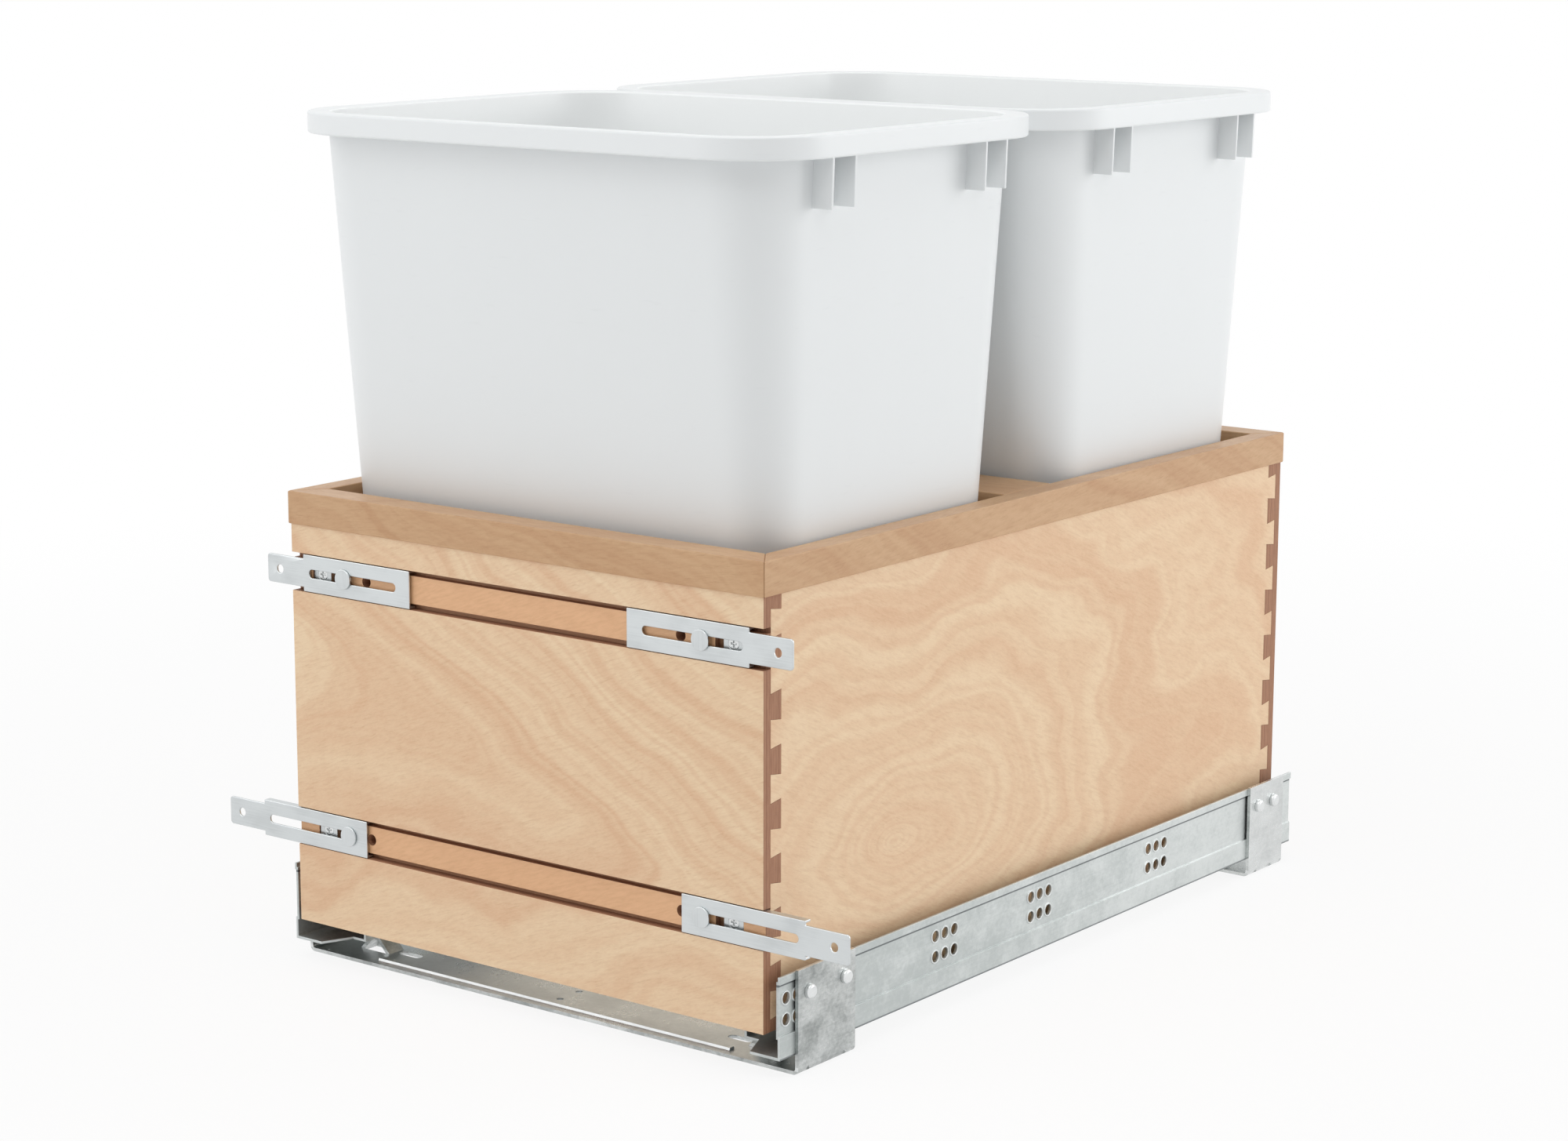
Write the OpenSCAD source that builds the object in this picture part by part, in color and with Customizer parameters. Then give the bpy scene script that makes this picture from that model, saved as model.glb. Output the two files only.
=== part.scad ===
// Pull out bin frame: a dovetailed box on full extension undermount slides, with two lift-out bins
// X to the right, Y to the back, Z up, in millimetres; the origin is under the middle of the object

/* [Box] */
// Outer width of the wooden box
box_w = 340; // [300:1:420]
// Outer depth of the wooden box
box_d = 533.4; // [490:0.1:600]
// Height of the box sides
box_h = 234.4; // [212:0.1:300]
// Height of the box sides above the cabinet floor
box_z = 25.1; // [23:0.1:31]
// Thickness of the side panels
side_t = 12.7; // [10:0.1:16]
// Thickness of the front and back panels
panel_t = 15; // [13:0.1:19]
// Wood left in front of the dovetails
lap_t = 6; // [4.5:0.1:8]
// Spaces between dovetail pins over the height
pin_gaps = 8; // [6:1:10]
// Height of a dovetail pin at its narrow end
pin_w = 13.5; // [8:0.1:14]
// Widening of a pin on each side
pin_flare = 1.3; // [0.6:0.1:2.5]
// Thickness of the floor panel
floor_t = 6.3; // [5.5:0.1:9]
// Depth of the recess under the floor panel
floor_recess = 12.7; // [11:0.1:16]

/* [Rim] */
// Thickness of the top rim
rim_t = 19; // [12:0.1:25]
// Overhang of the rim around the box
rim_lip = 1.2; // [0:0.1:4]
// Width of the front rim board
rim_front_w = 19; // [17:0.1:24]
// Width of the back rim board
rim_back_w = 17.5; // [17:0.1:24]
// Width of the divider between the bins
divider_w = 47.5; // [30:0.1:60]
// Middle of the divider, forward of the middle of the rim
divider_fwd = 3.9; // [0:0.1:6]

/* [Bins] */
// Height of the top of the bins above the rim
bin_above = 214.3; // [150:0.1:260]
// Gap between the rims of the two bins
bin_gap = 1.2; // [0.8:0.1:6]
// Plastic wall of the bins
bin_wall = 2.2; // [1.6:0.1:3]
// Height of the turned-down rim
bin_skirt_h = 12; // [8:0.1:20]
// Reach of the turned-down rim past the wall at the sides
bin_reach = 13; // [9:0.1:16]
// Corner radius of the bin at its foot
bin_foot_r = 20; // [12:0.5:30]
// Corner radius of the bin wall under its rim
bin_top_r = 39; // [30:0.5:45]
// Slope of the side walls
bin_slope_x = 0.04; // [0.02:0.005:0.05]
// Slope of the front and back walls
bin_slope_y = 0.085; // [0.04:0.005:0.095]

/* [Door brackets] */
// Height of the two grooves in the front panel
groove_h = 22.2; // [20:0.1:26]
// Depth of the grooves along their edges
groove_d = 6; // [5.8:0.1:7]
// Depth of the land in the middle of the grooves
land_d = 2; // [1.9:0.1:2.6]
// Height of the deep edges of the grooves
kerf_h = 3.1; // [2.8:0.1:3.6]
// Middle of the upper groove below the top of the box
groove_drop = 27.5; // [20:0.1:34]
// Distance between the two grooves
groove_pitch = 150; // [120:0.1:160]
// Sheet of the brackets
bracket_t = 1.4; // [1:0.1:1.6]
// Length of the channelled part of a bracket
bracket_l = 82.2; // [78:0.1:90]
// Length of the flat tip of a bracket
tip_l = 28.4; // [20:0.1:36]
// Height of the flat tip of a bracket
tip_h = 16.6; // [12:0.1:18]
// Door screw hole of a bracket
tip_hole_d = 5; // [3:0.1:6]
// Reach of the upper brackets past the box
upper_reach = 19.2; // [4:0.1:30]
// Reach of the lower brackets past the box
lower_reach = 55.9; // [30:0.1:56.2]

/* [Slides and frame] */
// Sheet of the cabinet rails
rail_t = 1.6; // [1.4:0.1:2]
// Height of the cabinet rails above the cabinet floor
rail_z = 11.2; // [9:0.1:12]
// Top of the cabinet rails above the cabinet floor
rail_top = 57; // [54:0.1:61]
// Sheet of the two cross straps
strap_t = 2.1; // [1.5:0.1:2.7]
// Width of the front cross strap
front_strap_w = 50.8; // [44:0.1:60]
// Width of the rear cross strap
rear_strap_w = 41.7; // [36:0.1:50]
// Height of the upturned strap ends
strap_top = 58; // [55:0.1:63]

/* [Hidden] */
$fn = 48;
// Small overlap of cutting shapes
cut = 1;
// Running gap between sliding flat faces
run_gap = 0.5;
// Box and rim
box_x = box_w / 2;
rim_w = box_w + 2 * rim_lip;
rim_d = box_d + 2 * rim_lip;
box_y0 = rim_lip;
box_y1 = rim_lip + box_d;
box_top = box_z + box_h;
rim_top = box_top + rim_t;
in_x = box_x - side_t;
in_y0 = box_y0 + panel_t;
in_y1 = box_y1 - panel_t;
pin_pitch = box_h / pin_gaps;
floor_z = box_z + floor_recess;
floor_top = floor_z + floor_t;
floor_bite = 5;
div_y0 = rim_d / 2 - divider_fwd - divider_w / 2;
div_y1 = div_y0 + divider_w;
open_y1 = rim_d - rim_back_w;
// Bins
bin_fwd = 1.2;
bin_d = (rim_d - bin_gap) / 2;
bin_y = [bin_d / 2 - bin_fwd, bin_d * 1.5 + bin_gap - bin_fwd];
bin_top = rim_top + bin_above;
bin_fit = 1.3;
bin_side_fit = 2.8;
bin_mid_x = in_x - bin_side_fit;
bin_room_f = min(bin_y[0] - rim_front_w, div_y0 - bin_y[0]);
bin_room_r = min(bin_y[1] - div_y1, open_y1 - bin_y[1]);
bin_mid_y = min(bin_room_f, bin_room_r) - bin_fit;
bin_foot_h = 4;
bin_floor_t = 2.6;
bin_skirt_t = 2;
bin_slice_h = 0.01;
bin_rim_x = bin_half_x(bin_top) + bin_reach;
bin_rim_r = bin_top_r + bin_reach - bin_skirt_t;
fin_t = 1.6;
fin_h = 26.5;
fin_in = 0.6;
fin_y = [-0.297 * bin_d, -0.224 * bin_d, 0.224 * bin_d, 0.297 * bin_d];
// Brackets
bracket_fit = 0.4;
bracket_h = groove_h - 2 * bracket_fit;
bracket_proud = 0.5;
bracket_y = box_y0 - bracket_proud;
flange_l = 4.9;
groove_y = box_y0 + groove_d;
land_y = box_y0 + land_d;
land_h = groove_h - 2 * kerf_h;
groove_z = [box_top - groove_drop - groove_pitch, box_top - groove_drop];
shank_d = 4.6;
slot_fit = 0.3;
slot_w = shank_d + slot_fit;
slot_in = 10.5;
slot_out = 4.4;
tip_hole_in = 9.8;
tip_r = 2;
guide_in = 41;
screw_in = 21.7;
spare_in = 56.4;
guide_x = box_x - guide_in;
screw_x = box_x - screw_in;
spare_x = box_x - spare_in;
disc_d = 11.5;
disc_t = 1.2;
disc_gap = 0.1;
guide_l = 5;
plate_sunk = 0.6;
plate_half = 6.6;
plate_h = 14;
pocket_in = 5;
pocket_out = 0.4;
plate_y = land_y + plate_sunk;
screw_d = 3.5;
screw_head_d = 7;
screw_head_t = 1.8;
screw_l = 5;
cross_l = 3.8;
cross_w = 0.9;
cross_deep = 1.2;
// Cabinet rails
rail_gap = 8.1;
rail_over = 7.45;
rail_foot = 17.3;
rail_x = box_x + rail_gap;
rail_y0 = 4.9;
rail_y1 = rail_y0 + rail_over + box_d;
rail_jog = 1;
rail_band = 13.2;
rail_lip_h = 5.9;
rail_in_x = in_x - rail_foot;
flange_top = rail_z + rail_t;
web_x = rail_x - rail_jog;
lip_top_h = 4.2;
slant_out = 20;
slant_in = 10;
slant_l = 18.5;
hole_d = 6.4;
collar_d = 8;
collar_t = 0.6;
hole_low = 21.5;
hole_high = 33.3;
hole_z = [rail_z + hole_low, rail_z + hole_high];
hole_step = 9.1;
// Place of each hole group from the front, and its columns
hole_groups = [[11.1, 2], [148, 3], [244.1, 3], [372.7, 3]];
// Frame straps and rivets
strap_x = rail_x + strap_t;
front_strap_y = 18.2;
rear_strap_in = 55.3;
rear_strap_y = rail_y1 - rear_strap_in;
bend_r = 3.5;
rivet_up = 33.6;
rivet_z = rail_z + rivet_up;
rivet_head_d = 8;
rivet_head_t = 3;
rivet_d = 4.8;
rivet_hole_d = rivet_d + 0.1;
front_rivet_step = 32;
rear_rivet_in = 10;
rear_rivet_step = 18.5;
rivet_y = [
  front_strap_y + (front_strap_w - front_rivet_step) / 2,
  front_strap_y + (front_strap_w + front_rivet_step) / 2,
  rear_strap_y + rear_rivet_in, rear_strap_y + rear_rivet_in + rear_rivet_step
];
slot_mount_in = 47.6;
slot_mount_x = box_x - slot_mount_in;
front_slot_y = 24.8;
rear_slot_back = 2;
rear_slot_y = rear_strap_w / 2 + rear_slot_back;
slot_mount_l = 16.4;
slot_mount_w = 5.8;
bridge_w = 12;
bridge_l = 23;
bridge_fwd = 1.3;
bridge_out = 4.5;
bridge_x = rail_in_x + bridge_out;
notch_d = 3.4;
notch_z = 1.7;
// Slide members
leg_t = 1.2;
plate_rail_t = 1.6;
slide_gap = 1.5;
slide_w = 13.6;
leg_h = 14;
drawer_out = in_x - slide_gap;
drawer_in = drawer_out - slide_w;
ceiling = floor_z - plate_rail_t;
leg_bottom = ceiling - leg_h;
drawer_end_gap = 1.2;
drawer_y0 = in_y0 + drawer_end_gap;
drawer_y1 = in_y1 - drawer_end_gap;
inter_x0 = drawer_in + leg_t + run_gap;
inter_x1 = drawer_out - leg_t - run_gap;
lower_room = 5.1;
upper_room = 5.9;
ball_gap = 0.3;
inter_z0 = flange_top + lower_room;
inter_z1 = ceiling - upper_room;
inter_t = 1.2;
inter_front = 21;
inter_back = 45.85;
inter_y0 = rail_y0 + inter_front;
inter_y1 = rail_y1 - inter_back;
cage_l = 120;
cage_t = 2.2;
cage_side = 0.5;
lower_cage_y = (inter_y0 + inter_y1 - cage_l) / 2;
upper_cage_y = (inter_y0 + drawer_y1 - cage_l) / 2;
balls = 5;
lower_ball_d = lower_room - 2 * ball_gap;
upper_ball_d = upper_room - 2 * ball_gap;
tab_w = 12;
tab_x = drawer_in - tab_w / 2;
slide_screw_y = [0.09, 0.36, 0.64, 0.91];
slide_screw_l = 4.6;
slide_head_t = 2;
notch_gap = 0.8;
back_notch_x = drawer_in - notch_gap;
// The origin lies halfway between the foremost and the rearmost point
front_most = min(bracket_y - disc_gap - disc_t, bin_y[0] - bin_d / 2);
rear_most = max(rail_y1, bin_y[1] + bin_d / 2);
mid_y = (front_most + rear_most) / 2;

function bin_half_x(z) = bin_mid_x + bin_slope_x * (z - rim_top);
function bin_half_y(z) = bin_mid_y + bin_slope_y * (z - rim_top);

// Placing and drawing helpers
module place() {
  translate([0, -mid_y, 0]) children();
}

module on_side(side) {
  if (side > 0) {
    children();
  } else {
    mirror([1, 0, 0]) children();
  }
}

module both_sides() {
  children();
  mirror([1, 0, 0]) children();
}

module block(a, b) {
  translate(a) cube([b[0] - a[0], b[1] - a[1], b[2] - a[2]]);
}

module along_x(x0, x1) {
  translate([x0, 0, 0]) rotate([90, 0, 90]) linear_extrude(height = x1 - x0) children();
}

module along_y(y0, y1) {
  translate([0, y1, 0]) rotate([90, 0, 0]) linear_extrude(height = y1 - y0) children();
}

module rod_x(x0, x1, y, z, d) {
  translate([x0, y, z]) rotate([0, 90, 0]) cylinder(h = x1 - x0, d = d);
}

module rod_y(y0, y1, x, z, d) {
  translate([x, y1, z]) rotate([90, 0, 0]) cylinder(h = y1 - y0, d = d);
}

module slot_z(x, y, l, w, z0, z1) {
  block([x - l / 2 + w / 2, y - w / 2, z0], [x + l / 2 - w / 2, y + w / 2, z1]);
  for (s = [-1, 1]) {
    translate([x + s * (l - w) / 2, y, z0]) cylinder(h = z1 - z0, d = w);
  }
}

module slot_y(x0, x1, z, w, y0, y1) {
  block([x0 + w / 2, y0, z - w / 2], [x1 - w / 2, y1, z + w / 2]);
  for (x = [x0 + w / 2, x1 - w / 2]) {
    rod_y(y0, y1, x, z, w);
  }
}

module round_prism(hx, hy, r, z0, z1) {
  block([-hx + r, -hy, z0], [hx - r, hy, z1]);
  block([-hx, -hy + r, z0], [hx, hy - r, z1]);
  for (sx = [-1, 1], sy = [-1, 1]) {
    translate([sx * (hx - r), sy * (hy - r), z0]) cylinder(h = z1 - z0, r = r);
  }
}

// Cross straps with upturned ends
module strap_profile() {
  difference() {
    union() {
      translate([-strap_x + bend_r, 0]) square([2 * (strap_x - bend_r), strap_top]);
      translate([-strap_x, bend_r]) square([2 * strap_x, strap_top - bend_r]);
      for (s = [-1, 1]) {
        translate([s * (strap_x - bend_r), bend_r]) circle(r = bend_r);
      }
    }
    translate([-rail_x + bend_r - strap_t, strap_t]) square([2 * (rail_x - bend_r + strap_t), strap_top]);
    translate([-rail_x, bend_r]) square([2 * rail_x, strap_top]);
    for (s = [-1, 1]) {
      translate([s * (strap_x - bend_r), bend_r]) circle(r = bend_r - strap_t);
    }
  }
}

module strap_bridge(y) {
  half = bridge_l / 2;
  flat = 3;
  along_y(y - bridge_w / 2, y + bridge_w / 2) polygon([
    [bridge_x - half, 0], [bridge_x - half, strap_t], [bridge_x - flat, rail_z],
    [bridge_x + flat, rail_z], [bridge_x + half, strap_t], [bridge_x + half, 0],
    [bridge_x + half - strap_t / 2, 0], [bridge_x + flat - strap_t / 2, rail_z - strap_t],
    [bridge_x - flat + strap_t / 2, rail_z - strap_t], [bridge_x - half + strap_t / 2, 0]
  ]);
}

module strap(y0, w, rivets, slot_off) {
  bridge_y = y0 + slot_off - bridge_fwd;
  difference() {
    along_y(y0, y0 + w) strap_profile();
    both_sides() {
      slot_z(slot_mount_x, y0 + slot_off, slot_mount_l, slot_mount_w, -cut, strap_t + cut);
      block([bridge_x - bridge_l / 2, bridge_y - bridge_w / 2, -cut],
        [bridge_x + bridge_l / 2, bridge_y + bridge_w / 2, strap_t + cut]);
      for (y = rivets) {
        rod_x(rail_x - cut, strap_x + cut, y, rivet_z, rivet_hole_d);
        rod_x(rail_x, strap_x + cut, y, notch_z, notch_d);
      }
    }
  }
  both_sides() strap_bridge(bridge_y);
}

module front_strap() {
  rib_h = 1.5;
  rib_w = 4.4;
  rib_top_w = 3.5;
  rib_in = 5;
  rib_end = 40;
  rib_y = front_strap_y + rib_in + rib_w / 2;
  rib_x = box_x - rib_end;
  hole_in = 24.4;
  hole_mid = front_strap_y + hole_in;
  hole_off = 8.2;
  small_hole_d = 4;
  color([0.72, 0.74, 0.75]) place() {
    difference() {
      strap(front_strap_y, front_strap_w, [rivet_y[0], rivet_y[1]], front_slot_y);
      for (s = [-1, 1]) {
        translate([0, hole_mid + s * hole_off, -cut]) cylinder(h = strap_t + 2 * cut, d = small_hole_d);
      }
    }
    along_x(-rib_x, rib_x) polygon([
      [rib_y - rib_w / 2, strap_t / 2], [rib_y + rib_w / 2, strap_t / 2], [rib_y + rib_w / 2, strap_t],
      [rib_y + rib_top_w / 2, strap_t + rib_h], [rib_y - rib_top_w / 2, strap_t + rib_h],
      [rib_y - rib_w / 2, strap_t]
    ]);
  }
}

module rear_strap() {
  color([0.72, 0.74, 0.75]) place()
    strap(rear_strap_y, rear_strap_w, [rivet_y[2], rivet_y[3]], rear_slot_y);
}

// Fixed rails of the slides
module rail_profile() {
  band_top = rail_z + rail_band;
  web_top = rail_top - lip_top_h + rail_t;
  translate([rail_in_x, rail_z]) square([rail_x - rail_in_x, rail_t]);
  translate([rail_in_x, rail_z]) square([rail_t, rail_lip_h]);
  translate([rail_x - rail_t, rail_z]) square([rail_t, rail_band]);
  translate([web_x - rail_t, band_top - rail_t]) square([rail_jog + rail_t, rail_t]);
  translate([web_x - rail_t, band_top - rail_t]) square([rail_t, web_top - band_top + rail_t]);
  translate([web_x - rail_t, rail_top - lip_top_h]) square([rail_jog + rail_t, rail_t]);
  translate([rail_x - rail_t, rail_top - lip_top_h]) square([rail_t, lip_top_h]);
}

module cabinet_rail(side) {
  color([0.74, 0.77, 0.78]) place() on_side(side) difference() {
    union() {
      along_y(rail_y0, rail_y1) rail_profile();
      for (g = hole_groups, k = [0 : g[1] - 1], z = hole_z) {
        rod_x(web_x - rail_t / 2, web_x + collar_t, g[0] + k * hole_step, z, collar_d);
      }
    }
    for (g = hole_groups, k = [0 : g[1] - 1], z = hole_z) {
      rod_x(web_x - rail_t - cut, web_x + collar_t + cut, g[0] + k * hole_step, z, hole_d);
    }
    for (y = rivet_y) {
      rod_x(web_x - rail_t - cut, web_x + cut, y, rivet_z, rivet_hole_d);
    }
    translate([0, 0, rail_z - cut]) linear_extrude(height = rail_lip_h + 2 * cut) polygon([
      [rail_x - slant_out, rail_y0 - cut], [rail_x - slant_out, rail_y0],
      [rail_in_x + slant_in, rail_y0 + slant_l], [rail_in_x - cut, rail_y0 + slant_l],
      [rail_in_x - cut, rail_y0 - cut]
    ]);
  }
}

module left_cabinet_rail() {
  cabinet_rail(-1);
}

module right_cabinet_rail() {
  cabinet_rail(1);
}

module frame_rivet(y) {
  chamfer = 1;
  tail_t = 1.5;
  tail_d = 7.4;
  rod_x(web_x - rail_t, strap_x, y, rivet_z, rivet_d);
  rod_x(web_x - rail_t - tail_t, web_x - rail_t, y, rivet_z, tail_d);
  rod_x(strap_x, strap_x + rivet_head_t - chamfer, y, rivet_z, rivet_head_d);
  translate([strap_x + rivet_head_t - chamfer, y, rivet_z]) rotate([0, 90, 0])
    cylinder(h = chamfer, d1 = rivet_head_d, d2 = rivet_head_d - 2 * chamfer);
}

module frame_rivets() {
  color([0.82, 0.84, 0.85]) place() both_sides() {
    for (y = rivet_y) {
      frame_rivet(y);
    }
  }
}

// Ball cages between the slide members
module cage(side, y0, z, ball_d) {
  color([0.2, 0.21, 0.22]) place() on_side(side) difference() {
    block([inter_x0 + cage_side, y0, z - cage_t / 2], [inter_x1 - cage_side, y0 + cage_l, z + cage_t / 2]);
    for (k = [0 : balls - 1]) {
      translate([(inter_x0 + inter_x1) / 2, y0 + (k + 0.5) * cage_l / balls, z - cage_t])
        cylinder(h = 2 * cage_t, d = ball_d);
    }
  }
}

module ball_row(side, y0, z, ball_d) {
  color([0.8, 0.81, 0.82]) place() on_side(side) {
    for (k = [0 : balls - 1]) {
      translate([(inter_x0 + inter_x1) / 2, y0 + (k + 0.5) * cage_l / balls, z]) sphere(d = ball_d);
    }
  }
}

module left_lower_cage() {
  cage(-1, lower_cage_y, flange_top + lower_room / 2, lower_ball_d);
}

module right_lower_cage() {
  cage(1, lower_cage_y, flange_top + lower_room / 2, lower_ball_d);
}

module left_lower_balls() {
  ball_row(-1, lower_cage_y, flange_top + lower_room / 2, lower_ball_d);
}

module right_lower_balls() {
  ball_row(1, lower_cage_y, flange_top + lower_room / 2, lower_ball_d);
}

module left_upper_cage() {
  cage(-1, upper_cage_y, ceiling - upper_room / 2, upper_ball_d);
}

module right_upper_cage() {
  cage(1, upper_cage_y, ceiling - upper_room / 2, upper_ball_d);
}

module left_upper_balls() {
  ball_row(-1, upper_cage_y, ceiling - upper_room / 2, upper_ball_d);
}

module right_upper_balls() {
  ball_row(1, upper_cage_y, ceiling - upper_room / 2, upper_ball_d);
}

// Middle members of the slides, hollow
module intermediate_rail(side) {
  color([0.74, 0.77, 0.78]) place() on_side(side) difference() {
    block([inter_x0, inter_y0, inter_z0], [inter_x1, inter_y1, inter_z1]);
    block([inter_x0 + inter_t, inter_y0 - cut, inter_z0 + inter_t],
      [inter_x1 - inter_t, inter_y1 + cut, inter_z1 - inter_t]);
  }
}

module left_intermediate_rail() {
  intermediate_rail(-1);
}

module right_intermediate_rail() {
  intermediate_rail(1);
}

// Drawer members of the slides, screwed under the floor panel
function screw_at(f) = drawer_y0 + f * (drawer_y1 - drawer_y0);

module drawer_rail(side) {
  color([0.74, 0.77, 0.78]) place() on_side(side) difference() {
    along_y(drawer_y0, drawer_y1) {
      translate([drawer_in - tab_w, ceiling]) square([drawer_out - drawer_in + tab_w, plate_rail_t]);
      translate([drawer_in, leg_bottom]) square([leg_t, floor_z - leg_bottom]);
      translate([drawer_out - leg_t, leg_bottom]) square([leg_t, floor_z - leg_bottom]);
    }
    for (f = slide_screw_y) {
      translate([tab_x, screw_at(f), ceiling - cut]) cylinder(h = plate_rail_t + 2 * cut, d = screw_d);
    }
  }
}

module left_drawer_rail() {
  drawer_rail(-1);
}

module right_drawer_rail() {
  drawer_rail(1);
}

module slide_screws() {
  color([0.66, 0.67, 0.68]) place() both_sides() {
    for (f = slide_screw_y) {
      translate([tab_x, screw_at(f), ceiling - slide_head_t]) difference() {
        union() {
          cylinder(h = slide_head_t, d = screw_head_d);
          cylinder(h = slide_head_t + plate_rail_t + slide_screw_l, d = screw_d);
        }
        drive_cross();
      }
    }
  }
}

module drive_cross() {
  for (a = [0, 90]) {
    rotate([0, 0, a]) block([-cross_l / 2, -cross_w / 2, -cut], [cross_l / 2, cross_w / 2, cross_deep]);
  }
}

// Box panels, joined by half-blind dovetails
module pin_prism(y_narrow, y_wide, x0, x1) {
  wide = pin_w / 2 + pin_flare;
  y_root = y_narrow + (y_narrow < y_wide ? -cut : cut);
  intersection() {
    along_x(x0, x1) {
      for (k = [0 : pin_gaps]) {
        translate([0, box_z + k * pin_pitch]) polygon([
          [y_root, -pin_w / 2], [y_narrow, -pin_w / 2], [y_wide, -wide],
          [y_wide, wide], [y_narrow, pin_w / 2], [y_root, pin_w / 2]
        ]);
      }
    }
    block([-box_x, 0, box_z], [box_x, rim_d, box_top]);
  }
}

module end_panel(y_out, y_lap, y_in) {
  block([-box_x, min(y_out, y_lap), box_z], [box_x, max(y_out, y_lap), box_top]);
  block([-in_x, min(y_out, y_in), box_z], [in_x, max(y_out, y_in), box_top]);
  pin_prism(y_lap, y_in, -box_x, box_x);
}

module floor_slab() {
  block([-in_x - floor_bite, in_y0 - floor_bite, floor_z], [in_x + floor_bite, in_y1 + floor_bite, floor_top]);
}

module bracket_groove(z) {
  spare_d = 6.4;
  spare_rest = 2;
  top = z + groove_h / 2;
  bottom = z - groove_h / 2;
  block([-box_x - cut, box_y0 - cut, bottom], [box_x + cut, land_y, top]);
  block([-box_x - cut, box_y0 - cut, bottom], [box_x + cut, groove_y, bottom + kerf_h]);
  block([-box_x - cut, box_y0 - cut, top - kerf_h], [box_x + cut, groove_y, top]);
  both_sides() {
    block([screw_x - plate_half - pocket_in, land_y - cut, bottom + kerf_h - cut],
      [screw_x + plate_half + pocket_out, groove_y, top - kerf_h + cut]);
    rod_y(groove_y - cut, groove_y + screw_l, screw_x, z, screw_d);
    rod_y(land_y - cut, land_y + guide_l, guide_x, z, shank_d);
    rod_y(land_y - cut, in_y0 - spare_rest, spare_x, z, spare_d);
  }
}

module front_panel() {
  color([0.89, 0.77, 0.62]) place() difference() {
    end_panel(box_y0, box_y0 + lap_t, in_y0);
    floor_slab();
    for (z = groove_z) {
      bracket_groove(z);
    }
  }
}

module back_panel() {
  color([0.89, 0.77, 0.62]) place() difference() {
    end_panel(box_y1, box_y1 - lap_t, in_y1);
    floor_slab();
    both_sides() block([back_notch_x, in_y1 - cut, box_z - cut], [in_x, box_y1 + cut, ceiling]);
  }
}

module side_panel(side) {
  color([0.9, 0.79, 0.65]) place() on_side(side) difference() {
    block([in_x, box_y0 + lap_t, box_z], [box_x, box_y1 - lap_t, box_top]);
    pin_prism(box_y0 + lap_t, in_y0, in_x - cut, box_x + cut);
    pin_prism(box_y1 - lap_t, in_y1, in_x - cut, box_x + cut);
    floor_slab();
  }
}

module left_side_panel() {
  side_panel(-1);
}

module right_side_panel() {
  side_panel(1);
}

module floor_panel() {
  color([0.86, 0.74, 0.59]) place() difference() {
    floor_slab();
    for (s = [-1, 1], f = slide_screw_y) {
      translate([s * tab_x, screw_at(f), floor_z - cut]) cylinder(h = slide_screw_l + cut, d = screw_d);
    }
  }
}

// Rim boards, mitred at the corners
module rim_board(points) {
  color([0.85, 0.7, 0.54]) place() translate([0, 0, box_top]) linear_extrude(height = rim_t) polygon(points);
}

module rim_front() {
  rim_board([[-rim_w / 2, 0], [rim_w / 2, 0], [in_x, rim_front_w], [-in_x, rim_front_w]]);
}

module rim_back() {
  rim_board([[-rim_w / 2, rim_d], [-in_x, open_y1], [in_x, open_y1], [rim_w / 2, rim_d]]);
}

module rim_left() {
  rim_board([[-rim_w / 2, 0], [-in_x, rim_front_w], [-in_x, open_y1], [-rim_w / 2, rim_d]]);
}

module rim_right() {
  rim_board([[rim_w / 2, 0], [rim_w / 2, rim_d], [in_x, open_y1], [in_x, rim_front_w]]);
}

module rim_divider() {
  rim_board([[-in_x, div_y0], [in_x, div_y0], [in_x, div_y1], [-in_x, div_y1]]);
}

// Door brackets and the pieces that hold them
module bracket_back_plates() {
  color([0.78, 0.8, 0.8]) place() both_sides() {
    for (z = groove_z) {
      difference() {
        block([screw_x - plate_half, plate_y, z - plate_h / 2], [screw_x + plate_half, groove_y, z + plate_h / 2]);
        rod_y(plate_y - cut, plate_y + screw_head_t, screw_x, z, screw_head_d);
        rod_y(plate_y, groove_y + cut, screw_x, z, screw_d);
      }
    }
  }
}

module bracket_guide_rivets() {
  collar_od = 8;
  color([0.83, 0.85, 0.86]) place() both_sides() {
    for (z = groove_z) {
      rod_y(bracket_y - disc_gap - disc_t, bracket_y - disc_gap, guide_x, z, disc_d);
      rod_y(bracket_y - disc_gap, land_y + guide_l, guide_x, z, shank_d);
      rod_y(bracket_y + bracket_t + disc_gap, land_y, guide_x, z, collar_od);
    }
  }
}

module bracket_screws() {
  color([0.8, 0.81, 0.82]) place() both_sides() {
    for (z = groove_z) {
      translate([screw_x, plate_y, z]) rotate([-90, 0, 0]) difference() {
        union() {
          cylinder(h = screw_head_t, d = screw_head_d);
          cylinder(h = groove_y - plate_y + screw_l, d = screw_d);
        }
        drive_cross();
      }
    }
  }
}

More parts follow.
